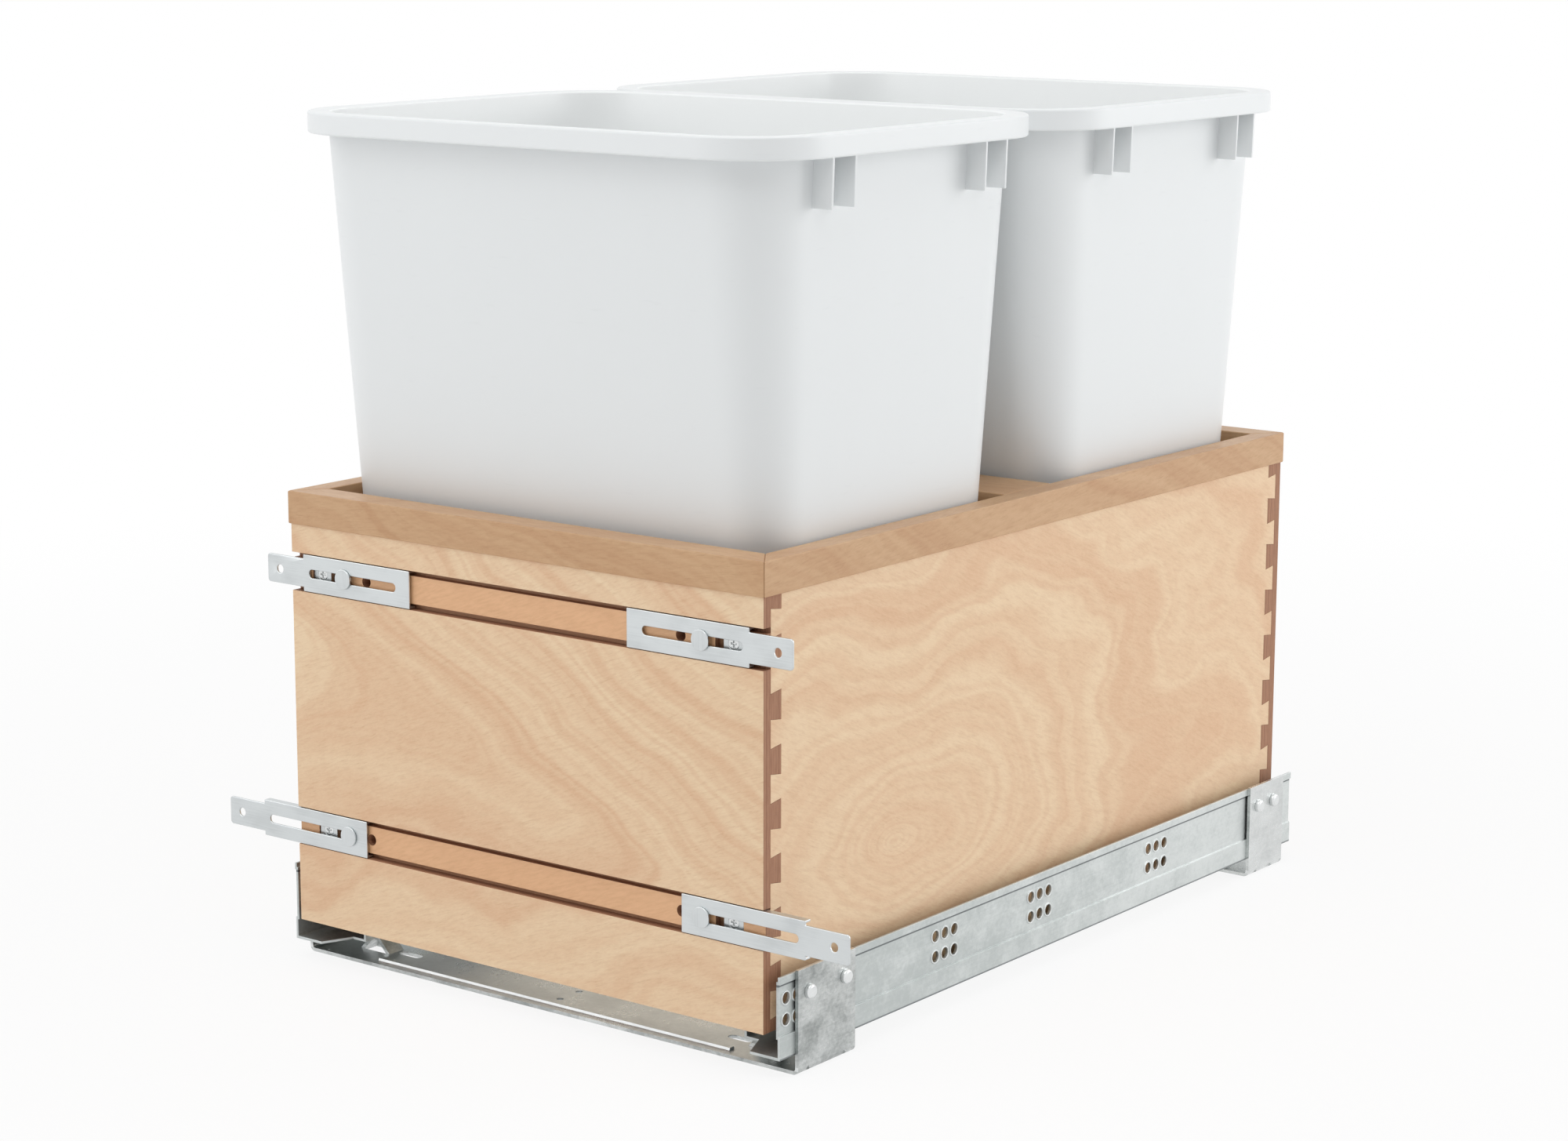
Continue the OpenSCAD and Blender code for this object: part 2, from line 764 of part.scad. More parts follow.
module bracket(side, reach, z) {
  x1 = box_x + reach;
  step = x1 - tip_l;
  x0 = step - bracket_l;
  back = bracket_y + bracket_t;
  color([0.81, 0.83, 0.84]) place() on_side(side) difference() {
    union() {
      block([x0, bracket_y, z - bracket_h / 2], [step, back, z + bracket_h / 2]);
      for (s = [-1, 1]) {
        edge = z + s * bracket_h / 2;
        turn = edge - s * bracket_t;
        block([x0, bracket_y, min(edge, turn)], [step, bracket_y + flange_l, max(edge, turn)]);
        rod_y(bracket_y, back, x1 - tip_r, z + s * (tip_h / 2 - tip_r), 2 * tip_r);
      }
      block([step - cut, bracket_y, z - tip_h / 2], [x1 - tip_r, back, z + tip_h / 2]);
      block([step - cut, bracket_y, z - tip_h / 2 + tip_r], [x1, back, z + tip_h / 2 - tip_r]);
    }
    slot_y(x0 + slot_in, step - slot_out, z, slot_w, bracket_y - cut, back + cut);
    rod_y(bracket_y - cut, back + cut, x1 - tip_hole_in, z, tip_hole_d);
  }
}

module upper_left_bracket() {
  bracket(-1, upper_reach, groove_z[1]);
}

module upper_right_bracket() {
  bracket(1, upper_reach, groove_z[1]);
}

module lower_left_bracket() {
  bracket(-1, lower_reach, groove_z[0]);
}

module lower_right_bracket() {
  bracket(1, lower_reach, groove_z[0]);
}

// Lift-out bins
module bin_slice(z, shrink, r) {
  hx = bin_half_x(z) - shrink;
  hy = bin_half_y(z) - shrink;
  for (sx = [-1, 1], sy = [-1, 1]) {
    translate([sx * (hx - r), sy * (hy - r), z]) cylinder(h = bin_slice_h, r = r, $fn = 64);
  }
}

module bin_outer() {
  hull() {
    bin_slice(floor_top, bin_foot_h, bin_foot_r - bin_foot_h);
    bin_slice(floor_top + bin_foot_h, 0, bin_foot_r);
    bin_slice(bin_top - bin_slice_h, 0, bin_top_r);
  }
}

module bin_inner() {
  hull() {
    bin_slice(floor_top + bin_floor_t, bin_foot_h + bin_wall, bin_foot_r - bin_foot_h);
    bin_slice(floor_top + bin_floor_t + bin_foot_h, bin_wall, bin_foot_r - bin_wall);
    bin_slice(bin_top + cut, bin_wall, bin_top_r - bin_wall);
  }
}

module bin_fin(y) {
  z0 = bin_top - bin_skirt_h - fin_h;
  z1 = bin_top - bin_skirt_t / 2;
  draft = 1.3;
  bite = bin_wall / 2;
  along_y(y - fin_t / 2, y + fin_t / 2) polygon([
    [bin_half_x(z0) - bite, z0], [bin_rim_x - fin_in - draft, z0],
    [bin_rim_x - fin_in, z1], [bin_half_x(z1) - bite, z1]
  ]);
}

module bin(yc) {
  color([0.95, 0.96, 0.96]) place() translate([0, yc, 0]) {
    difference() {
      union() {
        bin_outer();
        difference() {
          round_prism(bin_rim_x, bin_d / 2, bin_rim_r, bin_top - bin_skirt_h, bin_top);
          round_prism(bin_rim_x - bin_skirt_t, bin_d / 2 - bin_skirt_t, bin_rim_r - bin_skirt_t,
            bin_top - bin_skirt_h - cut, bin_top - bin_skirt_t);
        }
      }
      bin_inner();
    }
    both_sides() {
      for (y = fin_y) {
        bin_fin(y);
      }
    }
  }
}

module front_bin() {
  bin(bin_y[0]);
}

module rear_bin() {
  bin(bin_y[1]);
}

front_strap();
rear_strap();
left_cabinet_rail();
right_cabinet_rail();
frame_rivets();
left_lower_cage();
right_lower_cage();
left_lower_balls();
right_lower_balls();
left_intermediate_rail();
right_intermediate_rail();
left_upper_cage();
right_upper_cage();
left_upper_balls();
right_upper_balls();
left_drawer_rail();
right_drawer_rail();
slide_screws();
front_panel();
back_panel();
left_side_panel();
right_side_panel();
floor_panel();
rim_front();
rim_back();
rim_left();
rim_right();
rim_divider();
bracket_back_plates();
bracket_guide_rivets();
bracket_screws();
upper_left_bracket();
upper_right_bracket();
lower_left_bracket();
lower_right_bracket();
front_bin();
rear_bin();
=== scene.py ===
"""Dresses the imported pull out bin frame: wood, sheet steel, plated fittings and moulded bins."""

import math

import bmesh
import bpy
from bpy.props import FloatProperty, FloatVectorProperty, IntProperty, PointerProperty
from mathutils import Matrix, Vector


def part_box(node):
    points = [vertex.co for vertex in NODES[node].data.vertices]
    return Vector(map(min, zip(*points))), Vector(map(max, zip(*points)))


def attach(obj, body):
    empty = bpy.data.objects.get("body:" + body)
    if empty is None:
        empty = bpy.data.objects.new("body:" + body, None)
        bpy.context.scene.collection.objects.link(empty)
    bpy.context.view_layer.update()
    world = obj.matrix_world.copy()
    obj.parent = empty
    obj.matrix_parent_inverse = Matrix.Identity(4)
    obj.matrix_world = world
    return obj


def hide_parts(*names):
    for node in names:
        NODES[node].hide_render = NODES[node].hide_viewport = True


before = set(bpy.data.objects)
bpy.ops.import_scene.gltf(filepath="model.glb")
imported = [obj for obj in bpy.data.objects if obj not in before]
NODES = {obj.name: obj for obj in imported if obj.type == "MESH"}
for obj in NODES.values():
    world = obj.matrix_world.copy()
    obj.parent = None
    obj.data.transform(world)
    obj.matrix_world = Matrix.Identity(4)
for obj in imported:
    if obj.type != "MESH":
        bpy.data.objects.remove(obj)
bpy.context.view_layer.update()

bl_info = {
    "name": "Pull out bin frame",
    "version": (1, 0, 0),
    "blender": (4, 5, 0),
    "location": "3D View > Sidebar > Bin frame",
    "description": "Dresses a dovetailed pull out box with its slides, door brackets and two bins",
    "category": "Object",
}

MM = 0.001
SIDES = ("left", "right")
LEVELS = ("upper", "lower")

# Depths in the front panel between which a groove, and then the cuts along it, take over
PANEL_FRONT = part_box("front_panel")[0].y
GROOVE_DEPTH = (0.9 * MM, 1.1 * MM)
KERF_DEPTH = (3.0 * MM, 3.4 * MM)

# Mesh and camera values that no one would change
WELD_GAP = 0.002 * MM
FLAT_ANGLE = 0.6
SHARP_ANGLE = 35.0
SMOOTH_ANGLE = 38.0
SENSOR_WIDTH = 36.0
FLOOR_REACH = 12.0
FLOOR_DROP = 0.5 * MM
WHITE = (1.0, 1.0, 1.0)

# Colour sockets of a Mix node, which come after its number and vector sockets
MIX_FIRST, MIX_SECOND, MIX_RESULT = 6, 7, 2


# Sizes and colours that a user would change


def length(name, description, millimetres):
    """A length property, given in millimetres and kept in metres."""
    return FloatProperty(
        name=name, description=description, default=millimetres * MM, min=0.0,
        subtype="DISTANCE", unit="LENGTH", precision=5,
    )


def display_tone(red, green, blue):
    """A colour as read off a screen, 0 to 255, turned into light levels."""
    levels = [c / 255 for c in (red, green, blue)]
    return [c / 12.92 if c <= 0.04045 else ((c + 0.055) / 1.055) ** 2.4 for c in levels]


def tone(name, description, red, green, blue):
    """A colour property, given as screen values."""
    return FloatVectorProperty(
        name=name, description=description, default=display_tone(red, green, blue),
        size=3, min=0.0, max=1.0, subtype="COLOR",
    )


def amount(name, description, value, top=10.0):
    """A plain number property."""
    return FloatProperty(name=name, description=description, default=value, min=0.0, max=top)


def angle(name, description, degrees):
    """An angle property, given in degrees."""
    return FloatProperty(
        name=name, description=description, default=math.radians(degrees),
        subtype="ANGLE", unit="ROTATION",
    )


def power(name, description, watts):
    """The power of a lamp."""
    return FloatProperty(name=name, description=description, default=watts, min=0.0, unit="POWER")


class BinSizes(bpy.types.PropertyGroup):
    """Sizes of the two moulded bins."""

    wall: length("Wall", "Thickness of the plastic", 2.2)
    skirt: length("Skirt", "Height of the turned-down rim", 12.0)
    skirt_wall: length("Skirt wall", "Thickness of the turned-down rim", 2.0)
    flange: length("Flange", "Thickness of the flat top of the rim", 2.4)
    lip_round: length("Lip rounding", "Rounding of the outer top edge", 1.0)
    mouth_round: length("Mouth rounding", "Rounding of the inner top edge", 1.0)
    foot_round: length("Foot rounding", "Rounding where the wall meets the foot", 4.0)
    foot_corner: length("Foot corner", "Corner radius at the foot", 20.0)
    top_corner: length("Top corner", "Corner radius of the wall under the rim", 39.0)
    rim_corner: length("Rim corner", "Corner radius of the rim", 50.0)
    rim_reach_x: length("Reach at the sides", "Reach of the rim past the side walls", 13.0)
    rim_reach_y: length("Reach at the ends", "Reach of the rim past the end walls", 8.93)
    taper_x: amount("Side taper", "Slope of the side walls", 0.04, 1.0)
    taper_y: amount("End taper", "Slope of the front and back walls", 0.085, 1.0)
    fin_wall: length("Fin", "Thickness of a stacking fin", 1.6)
    fin_drop: length("Fin length", "Height of a stacking fin below the rim", 26.5)
    fin_near: length("Inner fins", "Distance of the inner fins from the middle", 59.9)
    fin_far: length("Outer fins", "Distance of the outer fins from the middle", 79.4)
    fin_draft: length("Fin draft", "How far a fin draws in towards its lower end", 1.3)
    corner_steps: IntProperty(
        name="Corner steps", description="Faces around each rounded corner",
        default=14, min=3, max=32,
    )


class EdgeSizes(bpy.types.PropertyGroup):
    """How far the edges of the pieces are eased."""

    panel: length("Panel edges", "Easing of the plywood edges", 0.35)
    front: length("Front edges", "Easing of the grooved front panel", 0.2)
    rim: length("Rim edges", "Easing of the rim boards", 0.7)
    sheet: length("Sheet edges", "Easing of the rails", 0.25)
    strap: length("Strap edges", "Easing of the cross straps", 0.1)
    plated: length("Bracket edges", "Easing of the plated brackets", 0.45)
    head: length("Head edges", "Easing of rivet and screw heads", 0.3)
    rail_jog: length("Rail jog", "How far the web of a rail lies in from its outer face", 1.0)
    rail_lip: length("Rail lip", "Height of the lip along the top of a rail", 4.2)
    strap_sheet: length("Strap sheet", "Thickness of the cross straps", 2.1)


class FinishTones(bpy.types.PropertyGroup):
    """Colours of the finishes."""

    panel_pale: tone("Panel pale", "Early wood of the panels", 240, 213, 177)
    panel_band: tone("Panel band", "Growth bands of the panels", 226, 186, 149)
    panel_deep: tone("Panel deep", "Fibres and pores of the panels", 192, 142, 100)
    board_pale: tone("Board pale", "Early wood of the floor panel", 242, 235, 222)
    board_band: tone("Board band", "Growth bands of the floor panel", 232, 220, 203)
    board_deep: tone("Board deep", "Fibres and pores of the floor panel", 204, 184, 160)
    groove: tone("Groove", "Wood laid open in the grooves", 233, 184, 140)
    edge_pale: tone("Edge pale", "Light plies in the panel edges", 174, 128, 99)
    edge_dark: tone("Edge dark", "Dark plies in the panel edges", 148, 103, 77)
    rim_pale: tone("Rim pale", "Early wood of the rim", 206, 168, 128)
    rim_band: tone("Rim band", "Growth bands of the rim", 194, 151, 111)
    rim_deep: tone("Rim deep", "Fibres and pores of the rim", 160, 112, 72)
    rail_zinc: tone("Rail zinc", "Galvanised coat of the rails", 216, 220, 219)
    rail_bloom: tone("Rail bloom", "Dull patches of the galvanised coat", 186, 191, 190)
    strap_zinc: tone("Strap zinc", "Galvanised coat of the straps", 218, 221, 220)
    strap_bloom: tone("Strap bloom", "Dull patches on the straps", 140, 144, 143)
    # Painted shade: a dark grey laid on the rails under their lips and along their foot, where
    # shade falls
    rail_shade: tone("Grime", "Dirt under the lips of the rails", 104, 108, 110)
    plated: tone("Plated", "Plated brackets", 210, 214, 215)
    bright: tone("Bright steel", "Rivets, screws and balls", 228, 230, 230)
    slide: tone("Slide steel", "Running rails of the slides", 188, 192, 195)
    nylon: tone("Nylon", "Ball cages", 52, 54, 57)
    plastic: tone("Plastic", "Moulded bins", 236, 239, 240)
    # Painted light: a whiter colour for the inside of the bins, standing in for light reaching into
    # them
    inside_light: tone("Polished plastic", "Inside of the bins", 252, 254, 254)
    floor: tone("Floor", "Studio floor", 246, 246, 246)


class StageSettings(bpy.types.PropertyGroup):
    """Camera and light."""

    lens: FloatProperty(
        name="Lens", description="Focal length on a 36 mm sensor",
        default=80.46, min=1.0, subtype="DISTANCE_CAMERA",
    )
    azimuth: angle("Azimuth", "Turn of the camera round the object", 37.324)
    elevation: angle("Elevation", "Height of the camera's view above level", 11.287)
    roll: angle("Roll", "Turn of the camera about its own axis", 0.121)
    place: FloatVectorProperty(
        name="Place", description="Place of the camera",
        default=(1.243, -1.6613, 0.6243), size=3, subtype="XYZ", unit="LENGTH",
    )
    sky: amount("Sky", "Level of the even light from above", 0.57)
    card: amount("Card", "How much darker the sky is behind the camera", 0.7, 1.0)
    table: amount("Table", "Level of the even light under the opal floor", 1.05)
    top: power("Top light", "Power of the panel overhead", 21.0)
    side: power("Side light", "Power of the panel at the right", 14.5)
    front: power("Front light", "Power of the panel at the front left", 8.0)
    shadow: amount("Shadow", "How strongly the floor shows the shadow", 0.4, 1.0)


class BinFrameSettings(bpy.types.PropertyGroup):
    """All settings of the bin frame."""

    bins: PointerProperty(type=BinSizes)
    edges: PointerProperty(type=EdgeSizes)
    tones: PointerProperty(type=FinishTones)
    stage: PointerProperty(type=StageSettings)


# Shader wiring


class Wire:
    """A socket that takes part in Python sums; each step adds a Math node."""

    def __init__(self, finish, socket):
        self.finish = finish
        self.socket = socket

    def math(self, operation, *values):
        sockets = dict(enumerate(values))
        return self.finish.node("ShaderNodeMath", {"operation": operation}, sockets)

    def __add__(self, other):
        return self.math("ADD", self, other)

    __radd__ = __add__

    def __sub__(self, other):
        return self.math("SUBTRACT", self, other)

    def __rsub__(self, other):
        return self.math("SUBTRACT", other, self)

    def __mul__(self, other):
        return self.math("MULTIPLY", self, other)

    __rmul__ = __mul__

    def __pow__(self, other):
        return self.math("POWER", self, other)

    def __abs__(self):
        return self.math("ABSOLUTE", self)


class Finish:
    """A node tree being wired up. Values, colours and other wires go into any socket."""

    def __init__(self, tree):
        self.tree = tree

    def plug(self, socket, value):
        if isinstance(value, Wire):
            self.tree.links.new(value.socket, socket)
        elif hasattr(value, "__len__") and len(value) == 3 and socket.type == "RGBA":
            socket.default_value = (*value, 1.0)
        else:
            socket.default_value = value

    def node(self, kind, settings=None, sockets=None, output=0):
        """Any node: its type, its settings, then the values or wires of its sockets."""
        made = self.tree.nodes.new(kind)
        for name, value in (settings or {}).items():
            setattr(made, name, value)
        for key, value in (sockets or {}).items():
            self.plug(made.inputs[key], value)
        return Wire(self, made.outputs[output])

    def split(self, vector):
        """The three parts of a vector."""
        first = self.node("ShaderNodeSeparateXYZ", None, {0: vector})
        parts = first.socket.node.outputs
        return [Wire(self, part) for part in parts]

    def place(self):
        """Where a point lies in the object, in metres."""
        return self.split(self.node("ShaderNodeTexCoord", None, None, "Object"))

    def facing(self):
        """How far the flat surface faces along each axis."""
        return self.split(self.node("ShaderNodeNewGeometry", None, None, "True Normal"))

    def vector(self, x, y, z):
        return self.node("ShaderNodeCombineXYZ", None, {0: x, 1: y, 2: z})

    def noise(self, x, y, z, detail=2.0, roughness=0.5):
        where = self.vector(x, y, z)
        sockets = {"Vector": where, "Scale": 1.0, "Detail": detail, "Roughness": roughness}
        return self.node("ShaderNodeTexNoise", {"noise_dimensions": "3D"}, sockets)

    def noise_along(self, w, detail=1.0):
        sockets = {"W": w, "Scale": 1.0, "Detail": detail}
        return self.node("ShaderNodeTexNoise", {"noise_dimensions": "1D"}, sockets)

    def step(self, value, low, high):
        """0 below low, 1 above high, smooth between."""
        sockets = {"Value": value, "From Min": low, "From Max": high}
        return self.node("ShaderNodeMapRange", {"interpolation_type": "SMOOTHSTEP"}, sockets)

    def mix(self, factor, first, second):
        """A colour between two colours."""
        sockets = {0: factor, MIX_FIRST: first, MIX_SECOND: second}
        return self.node("ShaderNodeMix", {"data_type": "RGBA"}, sockets, MIX_RESULT)


class Coat(Finish):
    """A material around one Principled shader."""

    def __init__(self, name, **constants):
        self.material = bpy.data.materials.new(name)
        self.material.use_nodes = True
        super().__init__(self.material.node_tree)
        self.shader = self.tree.nodes["Principled BSDF"]
        self.feed(**constants)

    def feed(self, **sockets):
        """Sets or wires the shader's sockets; an underscore stands for a space."""
        for name, value in sockets.items():
            self.plug(self.shader.inputs[name.replace("_", " ")], value)

    def colour(self):
        """The colour wired up so far."""
        return Wire(self, self.shader.inputs["Base Color"].links[0].from_socket)

    def relief(self, height, distance, strength):
        """A fine surface relief."""
        sockets = {"Height": height, "Distance": distance, "Strength": strength}
        self.feed(Normal=self.node("ShaderNodeBump", None, sockets))


# Wood


def grain(coat, along, across, ring, breadth, seed, lean):
    """Growth bands that follow the ring value, and the fibres and pores over them."""
    turn, rise = math.cos(lean), math.sin(lean)
    fibre_way = along * turn + across * rise
    cross_way = across * turn - along * rise
    sway = coat.noise(along * 5.5, across * 9.0, seed)
    ripple = coat.noise(along * 26.0, across * 60.0, seed + 3.1, detail=3.0)
    bent = ring + (sway - 0.5) * 0.085 + (ripple - 0.5) * 0.0075
    broad = coat.step(coat.noise_along(bent * 40.0 + seed, detail=0.4), 0.34, 0.68)
    narrow = coat.step(coat.noise_along(bent * 170.0 + seed), 0.3, 0.72)
    mottle = coat.noise(fibre_way * 60.0, cross_way * 130.0, seed + 5.0, detail=3.0, roughness=0.65)
    fleck = coat.noise(fibre_way * 420.0, cross_way * 1300.0, seed + 9.0, roughness=0.7)
    bands = (broad - 0.5) * breadth * 0.56 + narrow * 0.36 + mottle * 0.45 + fleck * 0.7 - 0.26
    fibre = coat.noise(fibre_way * 110.0, cross_way * 620.0, seed + 7.7, detail=3.0, roughness=0.6)
    dashes = coat.noise(fibre_way * 150.0, cross_way * 1500.0, seed + 1.3, detail=1.0)
    return bands, fibre, coat.step(dashes, 0.6, 0.76)


def wood_tones(coat, bands, fibre, pores, pale, band, deep):
    """The colour of figured wood."""
    body = coat.mix(bands, pale, band)
    furred = coat.mix(coat.step(fibre, 0.4, 0.76) * 0.2, body, deep)
    return coat.mix(pores * 0.18, furred, deep)


def chevron_figure(coat, along, across):
    """Nested chevrons that open to one side: their ring value and the share of broad bands."""
    upper = along * 0.51 + across * 0.86
    lower = along * 0.064 - across * 0.4 + 0.17
    return upper.math("SMOOTH_MAX", upper, lower, 0.03), 1.0


def eye_figure(coat, along, across, eye_along, eye_across):
    """Long rings round an eye, close and faint near it, wide and plain further out."""
    reach = (along - eye_along) * 0.46
    rise = across - eye_across
    square = reach * reach + rise * rise + 0.000001
    return (square * 0.0196) ** 0.25, coat.step(square ** 0.5, 0.03, 0.11) * 0.8 + 0.3


def plies(coat, depth, run, seed):
    """Thin layers in the edge of a panel, seen end on."""
    layer = coat.noise_along(depth * 900.0 + seed)
    grit = coat.noise(depth * 1500.0, run * 130.0, seed)
    return coat.step(layer * 0.6 + grit * 0.4, 0.34, 0.66)


def panel_wood(name, tones, stain, face_axis, along_axis, figure, seed, lean, grooved=False):
    """Lacquered plywood: figured faces, layered edges, and plainer wood in its grooves."""
    coat = Coat(name, Specular_IOR_Level=0.42, Coat_Roughness=0.3)
    place, facing = coat.place(), coat.facing()
    along = place[along_axis]
    across = place[2] if face_axis != 2 else place[0]
    ring, breadth = figure(coat, along, across)
    bands, fibre, pores = grain(coat, along, across, ring, breadth, seed, lean)
    face = wood_tones(coat, bands, fibre, pores, *stain)
    layers = plies(coat, place[face_axis], across, seed)
    edge = coat.mix(layers, tones.edge_pale, tones.edge_dark)
    on_edge = 1.0 - coat.step(abs(facing[face_axis]), 0.5, 0.8)
    if grooved:
        depth = place[1] - PANEL_FRONT
        forward = coat.step(facing[1] * -1.0, 0.5, 0.8)
        in_groove = coat.step(depth, *GROOVE_DEPTH) * forward
        in_kerf = coat.step(depth, *KERF_DEPTH) * forward
        streaks = coat.step(fibre, 0.3, 0.8) * 0.3 + bands * 0.12
        bare = coat.mix(streaks, tones.groove, tones.panel_deep)
        face = coat.mix(in_groove, face, bare)
        face = coat.mix(in_kerf * 0.55, face, edge)
    coat.feed(
        Base_Color=coat.mix(on_edge, face, edge),
        Roughness=0.4 + fibre * 0.16 + on_edge * 0.12,
        Coat_Weight=0.12 * (1.0 - on_edge),
    )
    coat.relief(fibre * 0.5 - pores * 0.6 + layers * on_edge * 0.8, 0.12 * MM, 0.6)
    return coat.material


def rim_wood(name, tones, along_axis, seed):
    """Lacquered solid wood, its figure running on round the edges of a board."""
    coat = Coat(name, Specular_IOR_Level=0.42, Coat_Roughness=0.3)
    place = coat.place()
    along = place[along_axis]
    across = place[2] - place[1 - along_axis] * 0.8
    ring = across * 0.9 + along * 0.34
    bands, fibre, pores = grain(coat, along, across, ring, 0.9, seed, 0.12)
    stain = (tones.rim_pale, tones.rim_band, tones.rim_deep)
    coat.feed(
        Base_Color=wood_tones(coat, bands, fibre, pores, *stain),
        Roughness=0.36 + fibre * 0.18,
        Coat_Weight=0.14 - pores * 0.1,
    )
    coat.relief(fibre * 0.5 - pores * 0.6, 0.12 * MM, 0.6)
    return coat.material


# Metal and plastic


def galvanised(name, clean, bloom, roughness, seed, spread, front_shade):
    """Hot dipped sheet: clouded, with painted shade that darkens it towards the front, faint
    crystals and rolling marks.
    """
    coat = Coat(name, Metallic=1.0)
    x, y, z = coat.place()
    cloud = coat.noise(x * 34.0, y * 34.0, z * 60.0 + seed, detail=4.0, roughness=0.62)
    drift = coat.noise(x * 11.0, y * 9.0, z * 20.0 + seed)
    warp = coat.noise(x * 140.0, y * 140.0, z * 140.0) * 0.006
    where = coat.vector(x + warp, y + warp, z + warp)
    crystal = coat.node("ShaderNodeTexVoronoi", None, {"Vector": where, "Scale": 130.0}, "Color")
    spangle = coat.split(crystal)[0]
    marks = coat.noise(x * 900.0, y * 26.0, z * 900.0)
    speck = coat.noise(x * 300.0, y * 300.0, z * 420.0 + seed, detail=3.0, roughness=0.7)
    # Painted shade: the coat is made duller and darker towards the front, as if the front lay in
    # less light
    painted_front_shade = coat.step(y, 0.2, -0.25) * front_shade
    clouds = cloud * 0.55 + drift * 0.3 + spangle * 0.06 + marks * 0.1 + speck * 0.3 + painted_front_shade
    halfway = 0.745
    dull = coat.step(clouds, halfway - spread, halfway + spread)
    coat.feed(
        Base_Color=coat.mix(dull, clean, bloom),
        Roughness=roughness + dull * 0.18 + marks * 0.06,
    )
    coat.relief(cloud * 0.3 + marks * 0.35 + spangle * 0.2, 0.05 * MM, 0.5)
    return coat


def rail_zinc(name, tones, sizes):
    """Galvanised rail: a painted highlight on its raised collars and jog, painted shadow under its
    lip and painted shade along its foot.
    """
    coat = galvanised(
        name, tones.rail_zinc, tones.rail_bloom, roughness=0.36, seed=0.0, spread=0.22, front_shade=0.22)
    x, _, z = coat.place()
    low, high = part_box("right_cabinet_rail")
    jog = sizes.rail_jog
    out = abs(x) - (high.x - jog)
    # Painted highlight: the raised collars and the jog are lightened towards bright steel, where
    # light would catch them
    raised_highlight = coat.step(out, 0.25 * MM, 0.35 * MM) * (1.0 - coat.step(out, 0.72 * MM, 0.82 * MM))
    below = high.z - sizes.rail_lip - z
    # Painted shadow: a dark line on the web just under the lip
    lip_shadow = coat.step(below, 1.5 * MM, 1.0 * MM) * coat.step(below, -0.05 * MM, 0.05 * MM)
    # Painted shade: a dark line along the foot of the rail, where its bend lies in shade
    foot = coat.step(z - low.z, 1.3 * MM, 0.7 * MM) * coat.step(out, 0.8 * jog, 0.9 * jog)
    highlighted = coat.mix(raised_highlight * 0.5, coat.colour(), tones.bright)
    coat.feed(Base_Color=coat.mix(lip_shadow * 0.9 + foot * 0.75, highlighted, tones.rail_shade))
    return coat.material


def strap_zinc(name, tones, sheet):
    """Galvanised strap: painted light lifts its flat and its rib, which face up, and its upright
    ends at the rear, over the darker coat of its edges and front ends.
    """
    coat = galvanised(
        name, tones.strap_zinc, tones.strap_bloom, roughness=0.2, seed=4.0, spread=0.26, front_shade=0.08)
    _, y, z = coat.place()
    sideways, _, level = (abs(part) for part in coat.facing())
    flat = coat.step(level, 0.5, 0.9)
    above_sheet = coat.step(z, sheet + 0.1 * MM, sheet + 0.2 * MM)
    rib = above_sheet * (1.0 - coat.step(z, 2.0 * sheet, 2.1 * sheet))
    upright = coat.step(sideways, 0.3, 0.7)
    # Painted light: the upward-facing flat and rib, and the rear upright ends, are lightened
    # towards bright steel
    painted_top_light = (flat + (1.0 - flat) * rib) * (1.0 - upright) * 0.75
    painted_rear_light = coat.step(y, 0.1, 0.2) * upright * 0.5
    coat.feed(Base_Color=coat.mix(painted_top_light + painted_rear_light, coat.colour(), tones.bright))
    return coat.material


def plated(name, colour, brushed_axis, roughness):
    """Smooth plated steel with a faint drawn grain."""
    coat = Coat(name, Metallic=1.0)
    x, y, z = coat.place()
    along_lines, across_lines = 40.0, 1300.0
    stretch = [along_lines if axis == brushed_axis else across_lines for axis in range(3)]
    drawn = coat.noise(x * stretch[0], y * stretch[1], z * stretch[2])
    smear = coat.noise(x * 45.0, y * 45.0, z * 70.0, detail=3.0)
    darker = [c * 0.86 for c in colour]
    shade = coat.step(drawn * 0.35 + smear * 0.65, 0.4, 0.74)
    coat.feed(
        Base_Color=coat.mix(shade, colour, darker),
        Roughness=roughness + drawn * 0.1 + smear * 0.06,
    )
    coat.relief(drawn, 0.01 * MM, 0.35)
    return coat.material


def nylon(name, colour):
    """Matt moulded nylon."""
    coat = Coat(name, Specular_IOR_Level=0.4)
    x, y, z = coat.place()
    speck = coat.noise(x * 1800.0, y * 1800.0, z * 1800.0)
    lighter = [c * 1.35 for c in colour]
    coat.feed(Base_Color=coat.mix(speck, colour, lighter), Roughness=0.5 + speck * 0.15)
    coat.relief(speck, 0.03 * MM, 0.5)
    return coat.material


